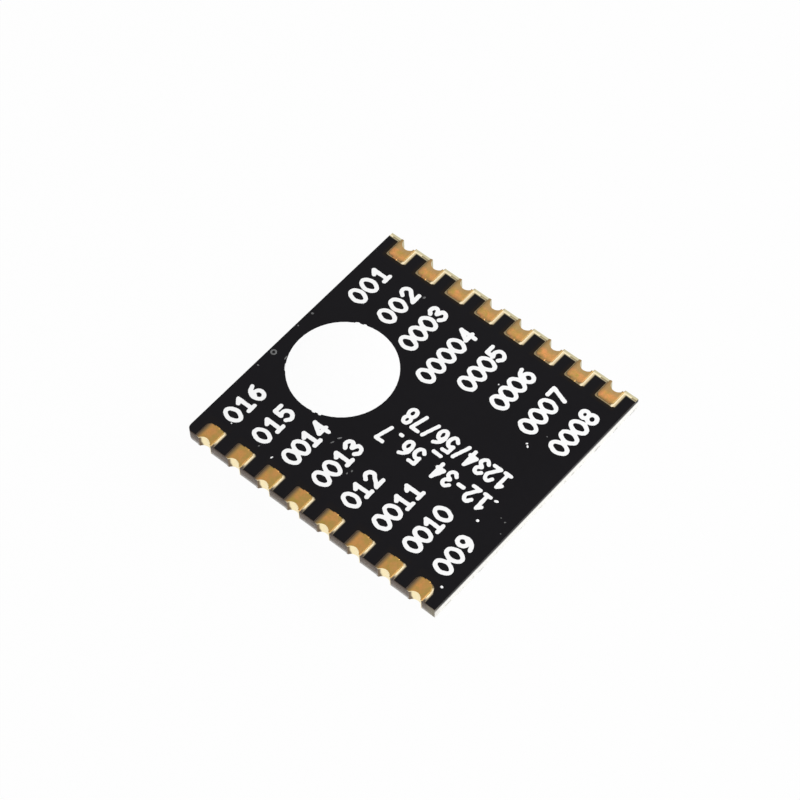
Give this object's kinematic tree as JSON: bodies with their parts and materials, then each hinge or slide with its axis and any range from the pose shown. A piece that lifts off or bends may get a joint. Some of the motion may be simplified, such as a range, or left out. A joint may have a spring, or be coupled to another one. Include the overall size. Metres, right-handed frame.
{
  "type": "castellated radio module",
  "caption": "Small square radio module with plated half-hole contacts along two edges, black mask and a white disc on its back, and a shield can and coax connector on its front.",
  "frame": {"origin": "bottom centre of the bounding box: the plane of the shield can's flat face, under the middle of the board", "axes": "+X along the contact rows, away from the coax connector; +Y across the rows, towards contacts 1 to 8; +Z out of the back face, up"},
  "size_m": [0.0164, 0.016, 0.0032],
  "materials": {
    "glass_epoxy": "cut glass-epoxy laminate, pale straw, fibres in its edges",
    "black_mask": "black solder mask, semi-gloss",
    "white_print": "white epoxy print",
    "gold_plate": "thin gold over nickel, satin",
    "tinned_steel": "tinned sheet, satin",
    "tin_plate": "bright tin plate",
    "pale_moulding": "pale insulating plastic",
    "black_moulding": "black moulding compound",
    "white_ceramic": "fired ceramic",
    "tan_ceramic": "tan ceramic",
    "grey_ceramic": "grey ceramic",
    "dark_ceramic": "dark glazed top on ceramic"
  },
  "bodies": {
    "root": {"antenna_switch": "black_moulding", "antenna_switch_lands": "gold_plate", "antenna_switch_leads": "tin_plate", "back_mask": "black_mask", "can_lands": "gold_plate", "capacitors": "tan_ceramic", "coax_body": "pale_moulding", "coax_lands": "gold_plate", "coax_pin": "gold_plate", "coax_shell": "gold_plate", "contact_01": "gold_plate", "contact_02": "gold_plate", "contact_03": "gold_plate", "contact_04": "gold_plate", "contact_05": "gold_plate", "contact_06": "gold_plate", "contact_07": "gold_plate", "contact_08": "gold_plate", "contact_09": "gold_plate", "contact_10": "gold_plate", "contact_11": "gold_plate", "contact_12": "gold_plate", "contact_13": "gold_plate", "contact_14": "gold_plate", "contact_15": "gold_plate", "contact_16": "gold_plate", "crystal_base": "white_ceramic", "crystal_lands": "gold_plate", "crystal_lid": "tin_plate", "end_caps": "tin_plate", "front_mask": "black_mask", "inductors": "grey_ceramic", "laminate": "glass_epoxy", "legend_disc": "white_print", "radio_chip": "black_moulding", "radio_chip_lands": "gold_plate", "radio_chip_leads": "tin_plate", "resistors": "dark_ceramic", "shield_can": "tinned_steel", "small_part_lands": "gold_plate"}
  },
  "joints": []
}
